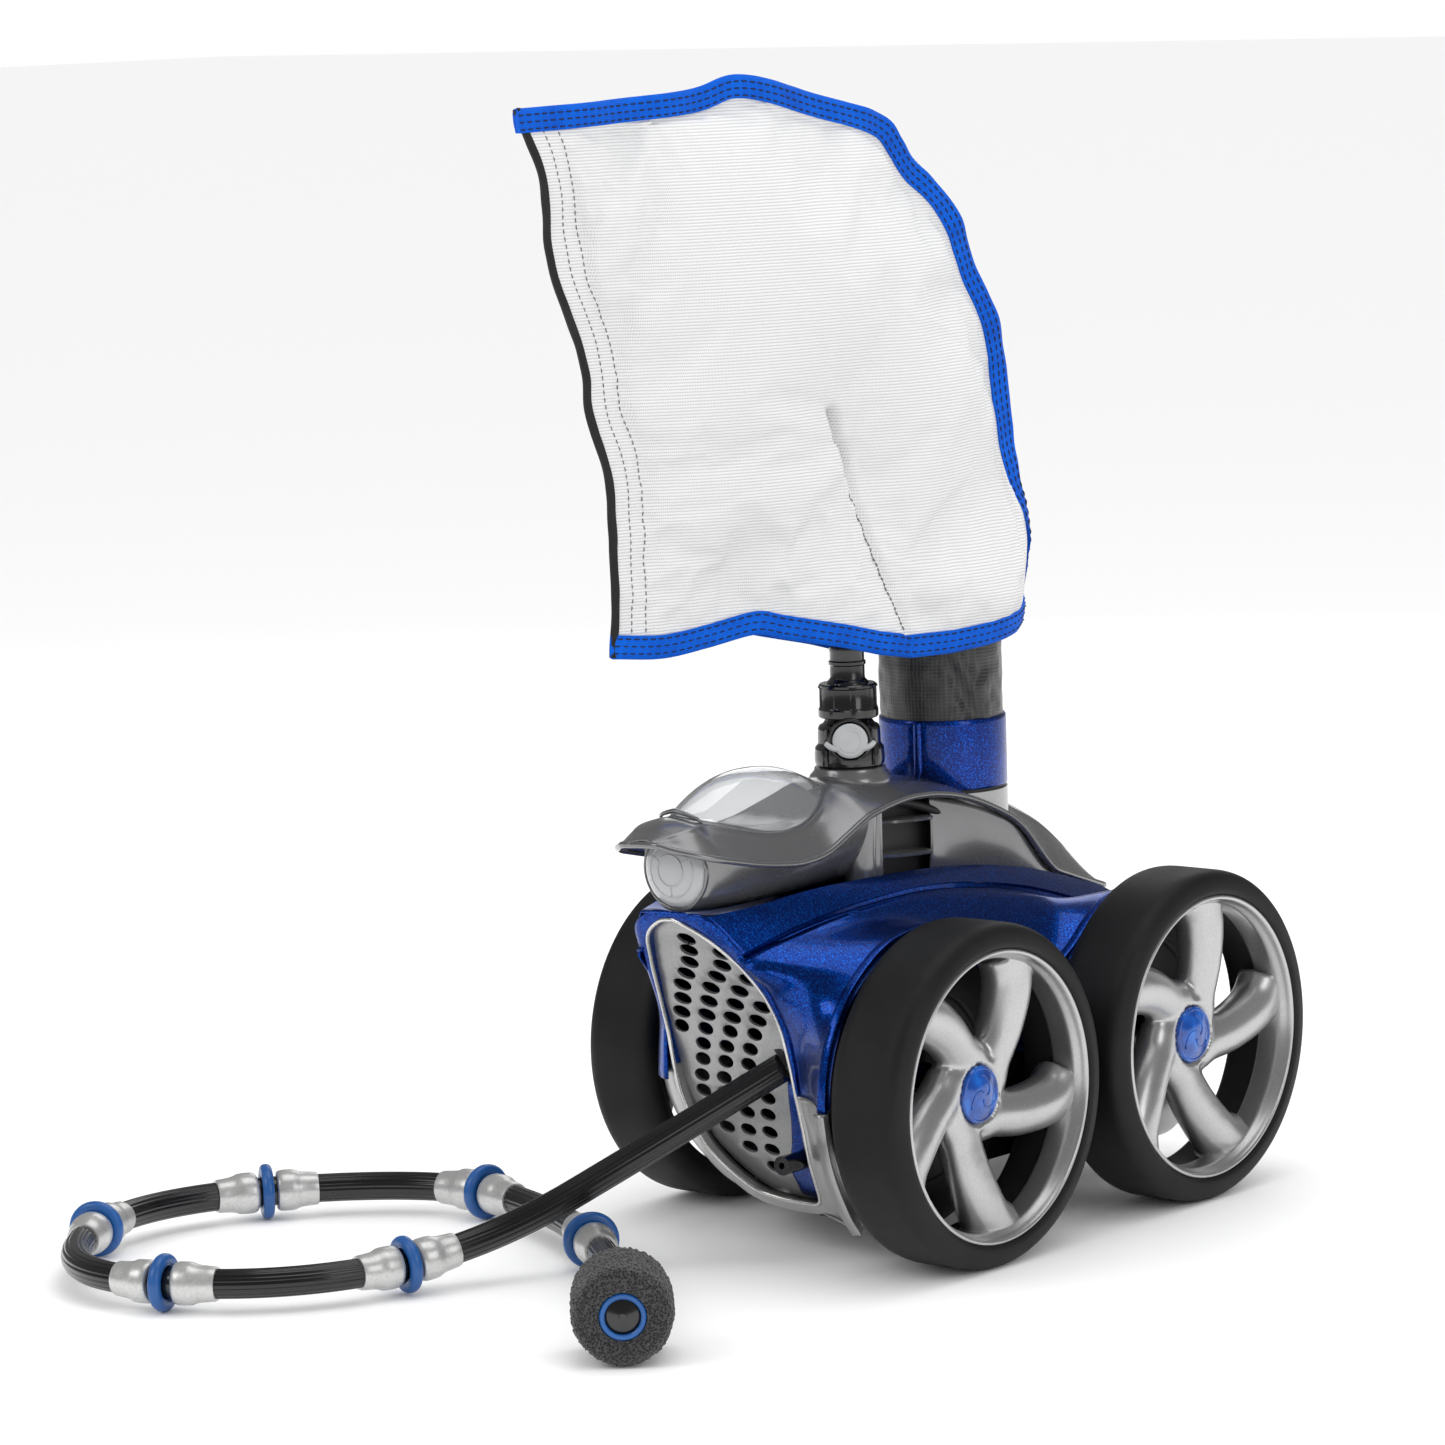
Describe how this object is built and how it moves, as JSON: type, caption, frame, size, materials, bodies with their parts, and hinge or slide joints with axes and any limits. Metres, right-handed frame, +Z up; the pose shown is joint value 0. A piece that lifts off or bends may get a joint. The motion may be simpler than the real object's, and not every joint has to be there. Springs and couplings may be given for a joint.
{
  "type": "pool cleaner",
  "caption": "Wheeled pressure-side pool cleaner with a debris bag, feed-hose connector, water-turbine chain drive and a trailing sweep hose with a foam scrubber.",
  "frame": {"origin": "on the ground below the middle of the bounding box of the machine without its sweep hose", "axes": "+Z up, -Y towards the grille end, +X towards the side with two wheels; X=0 midway between the outer faces of the wheels"},
  "size_m": [0.4927, 0.6607, 0.675],
  "materials": {
    "shell_blue": "deep metallic-flake blue, clear-coated",
    "shell_silver": "satin silver",
    "head_silver": "metallic grey-silver, smooth",
    "grille_grey": "satin grey with a bright rim",
    "window_clear": "clear moulded plastic",
    "plastic_black": "black, semi-gloss",
    "tyre_black": "matt black rubber, smooth tread",
    "rim_silver": "satin silver paint",
    "cap_blue": "translucent bright blue",
    "steel": "stainless",
    "release_grey": "light grey",
    "inner_plastic": "grey moulded",
    "brass_jet": "turned",
    "foam_inner": "closed-cell foam",
    "mesh_white": "fine knitted mesh",
    "binding_blue": "woven tape",
    "hem_black": "stitched mesh edge",
    "sleeve_black": "coated ripstop",
    "hose_black": "glossy ribbed hose",
    "ring_blue": "moulded soft rubber",
    "foam_charcoal": "open-cell foam",
    "seal_black": "moulded"
  },
  "bodies": {
    "chassis": {"axle_bearings": "inner_plastic", "connector_base": "shell_silver", "drive_chain_left": "steel", "drive_chain_right": "steel", "feed_pipe": "inner_plastic", "float_block": "foam_inner", "front_grille": "grille_grey", "head_base": "head_silver", "head_cover": "head_silver", "head_dome": "window_clear", "hose_clip": "window_clear", "hose_cups": "shell_silver", "hose_nut": "plastic_black", "jet_manifold": "brass_jet", "lower_shell": "shell_silver", "nose_lens": "window_clear", "scrubber_foam": "foam_charcoal", "scrubber_hub": "plastic_black", "shell_screws": "steel", "side_guard": "plastic_black", "suction_tube": "shell_silver", "supply_line": "inner_plastic", "sweep_hose": "hose_black", "thrust_jet_socket": "plastic_black", "tube_seal": "seal_black", "turbine_bushes": "steel", "turbine_housing": "inner_plastic", "upper_shell": "shell_blue"},
    "wheel_front_right": {"tyre_front_right": "tyre_black", "rim_front_right": "rim_silver", "hub_cap_front_right": "cap_blue", "axle_front_right": "steel"},
    "wheel_rear_right": {"tyre_rear_right": "tyre_black", "rim_rear_right": "rim_silver", "hub_cap_rear_right": "cap_blue", "axle_rear_right": "steel"},
    "wheel_left": {"tyre_left": "tyre_black", "rim_left": "rim_silver", "hub_cap_left": "cap_blue", "axle_left": "steel"},
    "turbine": {"turbine_wheel": "inner_plastic", "turbine_shaft": "steel"},
    "connector": {"connector_body": "plastic_black", "connector_nut": "plastic_black"},
    "button": {"release_button": "release_grey"},
    "bag": {"bag_collar": "shell_blue", "bag_neck": "sleeve_black", "bag_body": "mesh_white", "bag_binding": "binding_blue", "bag_front_hem": "hem_black"},
    "thrust_jet": {"thrust_jet_nozzle": "plastic_black"},
    "ring_1": {"wear_ring_1": "ring_blue"},
    "ring_2": {"wear_ring_2": "ring_blue"},
    "ring_3": {"wear_ring_3": "ring_blue"},
    "ring_4": {"wear_ring_4": "ring_blue"},
    "ring_5": {"wear_ring_5": "ring_blue"},
    "ring_6": {"wear_ring_6": "ring_blue"}
  },
  "joints": [
    {"name": "wheel_front_right_spin", "type": "hinge", "parent": "chassis", "child": "wheel_front_right", "pos_m": [0.123, -0.078, 0.099], "axis": [1, 0, 0], "continuous": true},
    {"name": "wheel_rear_right_spin", "type": "hinge", "parent": "chassis", "child": "wheel_rear_right", "pos_m": [0.123, 0.132, 0.099], "axis": [1, 0, 0], "continuous": true},
    {"name": "wheel_left_spin", "type": "hinge", "parent": "chassis", "child": "wheel_left", "pos_m": [-0.123, 0, 0.099], "axis": [1, 0, 0], "continuous": true},
    {"name": "turbine_spin", "type": "hinge", "parent": "chassis", "child": "turbine", "pos_m": [0, -0.008, 0.14], "axis": [1, 0, 0], "continuous": true},
    {"name": "connector_swivel", "type": "hinge", "parent": "chassis", "child": "connector", "pos_m": [0, -0.023, 0.29], "axis": [0, 0, 1], "continuous": true},
    {"name": "release_press", "type": "slide", "parent": "connector", "child": "button", "axis": [-0.6428, 0.766, 0], "range_m": [0, 0.0018], "stiffness_N_per_m": 300},
    {"name": "bag_lift", "type": "slide", "parent": "chassis", "child": "bag", "axis": [0, 0, 1], "range_m": [0, 0.05]},
    {"name": "thrust_jet_tilt", "type": "hinge", "parent": "chassis", "child": "thrust_jet", "pos_m": [0.037, -0.106, 0.059], "axis": [1, 0, 0], "range_deg": [-12, 12]},
    {"name": "ring_1_spin", "type": "hinge", "parent": "chassis", "child": "ring_1", "pos_m": [-0.10277, -0.30823, 0.01729], "axis": [-0.3343, -0.9404, -0.062], "continuous": true},
    {"name": "ring_2_spin", "type": "hinge", "parent": "chassis", "child": "ring_2", "pos_m": [-0.19067, -0.41258, 0.0167], "axis": [-0.9501, -0.312, 0], "continuous": true},
    {"name": "ring_3_spin", "type": "hinge", "parent": "chassis", "child": "ring_3", "pos_m": [-0.32394, -0.33527, 0.0167], "axis": [-0.4405, 0.8977, 0], "continuous": true},
    {"name": "ring_4_spin", "type": "hinge", "parent": "chassis", "child": "ring_4", "pos_m": [-0.3097, -0.20723, 0.0167], "axis": [0.6269, 0.7791, 0], "continuous": true},
    {"name": "ring_5_spin", "type": "hinge", "parent": "chassis", "child": "ring_5", "pos_m": [-0.19509, -0.13757, 0.0167], "axis": [0.991, -0.1337, 0], "continuous": true},
    {"name": "ring_6_spin", "type": "hinge", "parent": "chassis", "child": "ring_6", "pos_m": [-0.05537, -0.20339, 0.0167], "axis": [0.7938, -0.6082, 0], "continuous": true}
  ],
  "couplings": [
    {"joint": "wheel_rear_right_spin", "follows": "wheel_front_right_spin", "ratio": 1},
    {"joint": "wheel_left_spin", "follows": "wheel_front_right_spin", "ratio": 1},
    {"joint": "turbine_spin", "follows": "wheel_front_right_spin", "ratio": 3}
  ]
}
